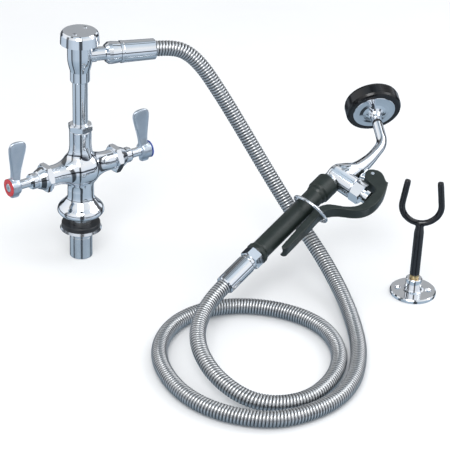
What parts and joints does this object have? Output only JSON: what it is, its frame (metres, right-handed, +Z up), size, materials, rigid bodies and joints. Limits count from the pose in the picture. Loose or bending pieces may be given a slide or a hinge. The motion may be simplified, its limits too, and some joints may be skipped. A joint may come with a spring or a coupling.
{
  "type": "pre rinse faucet",
  "caption": "Deck-mounted pre rinse faucet with hot and cold lever valves, a riser with a vacuum breaker, a coiled steel hose, a squeeze-lever spray valve and a fork hook to hang it on.",
  "frame": {"origin": "centre of the mounting shank's lower end, on the bench the whole set lies on", "axes": "+Z up along the shank and riser; +X along the arms towards the cold valve; -Y towards the front, the side the valve levers turn to"},
  "size_m": [0.4615, 0.441, 0.2817],
  "materials": {
    "chrome_plate": "mirror",
    "satin_lever": "satin",
    "steel": "polished",
    "steel_hose": "polished ribs",
    "brass": "machined",
    "black_rubber": "satin",
    "red_plastic": "gloss",
    "blue_plastic": "gloss",
    "ceramic": "polished ceramic",
    "grip_plastic": "satin",
    "black_plastic": "satin",
    "black_vinyl": "gloss"
  },
  "bodies": {
    "faucet": {"breaker_body": "chrome_plate", "breaker_bonnet": "steel", "breaker_cap": "chrome_plate", "breaker_gasket": "black_rubber", "bumper": "black_rubber", "cap_screws": "steel", "cold_bonnet_nut": "chrome_plate", "cold_cartridge": "brass", "cold_packing_nut": "chrome_plate", "cold_packing_ring": "black_rubber", "cold_seat_disc": "ceramic", "face_screws": "steel", "grip": "grip_plastic", "grip_tube": "brass", "handset_nut": "steel", "handset_sleeve": "steel", "handset_washer": "black_rubber", "head_plate": "chrome_plate", "hook_flange": "chrome_plate", "hook_fork": "black_vinyl", "hook_rod": "brass", "hose_inlet_sleeve": "steel", "hose_union_nut": "chrome_plate", "hose_washer": "black_rubber", "hot_bonnet_nut": "chrome_plate", "hot_cartridge": "brass", "hot_packing_nut": "chrome_plate", "hot_packing_ring": "black_rubber", "hot_seat_disc": "ceramic", "lever_pin": "steel", "lock_nut": "brass", "mounting_shank": "chrome_plate", "outlet_nipple": "chrome_plate", "riser_ferrule": "brass", "riser_nut": "chrome_plate", "riser_pipe": "chrome_plate", "rubber_washer": "black_rubber", "spray_body": "chrome_plate", "spray_face": "black_plastic", "spray_hose": "steel_hose", "steel_washer": "steel", "valve_body": "chrome_plate", "valve_bonnet": "chrome_plate", "valve_spring": "steel"},
    "hot_handle": {"hot_lever": "satin_lever", "hot_stem": "brass", "hot_index_ring": "red_plastic", "hot_handle_screw": "steel"},
    "cold_handle": {"cold_lever": "satin_lever", "cold_stem": "brass", "cold_index_ring": "blue_plastic", "cold_handle_screw": "steel"},
    "float": {"breaker_float": "black_plastic"},
    "squeeze": {"squeeze_lever": "grip_plastic"},
    "plunger": {"valve_plunger": "brass", "poppet_seal": "black_rubber"},
    "ring": {"hold_ring": "steel"}
  },
  "joints": [
    {"name": "hot_turn", "type": "hinge", "parent": "faucet", "child": "hot_handle", "pos_m": [0, 0, 0.1132], "axis": [1, 0, 0], "range_deg": [0, 90]},
    {"name": "cold_turn", "type": "hinge", "parent": "faucet", "child": "cold_handle", "pos_m": [0, 0, 0.1132], "axis": [1, 0, 0], "range_deg": [0, 90]},
    {"name": "float_lift", "type": "slide", "parent": "faucet", "child": "float", "axis": [0, 0, 1], "range_m": [0, 0.004]},
    {"name": "squeeze_hinge", "type": "hinge", "parent": "faucet", "child": "squeeze", "pos_m": [0.27426, -0.18947, 0.10927], "axis": [0.2133, 0.3643, -0.9065], "range_deg": [0, 3], "stiffness_Nm_per_rad": 1.5, "springref_deg": -17.19},
    {"name": "plunger_press", "type": "slide", "parent": "faucet", "child": "plunger", "axis": [-0.3197, 0.9028, 0.2876], "range_m": [0, 0.0015], "deforming": ["valve_spring"]},
    {"name": "ring_slide", "type": "slide", "parent": "faucet", "child": "ring", "axis": [0.9232, 0.2285, 0.309], "range_m": [-0.05, 0]}
  ],
  "couplings": [
    {"joint": "plunger_press", "follows": "squeeze_hinge", "m_per_rad": 0.0265}
  ]
}
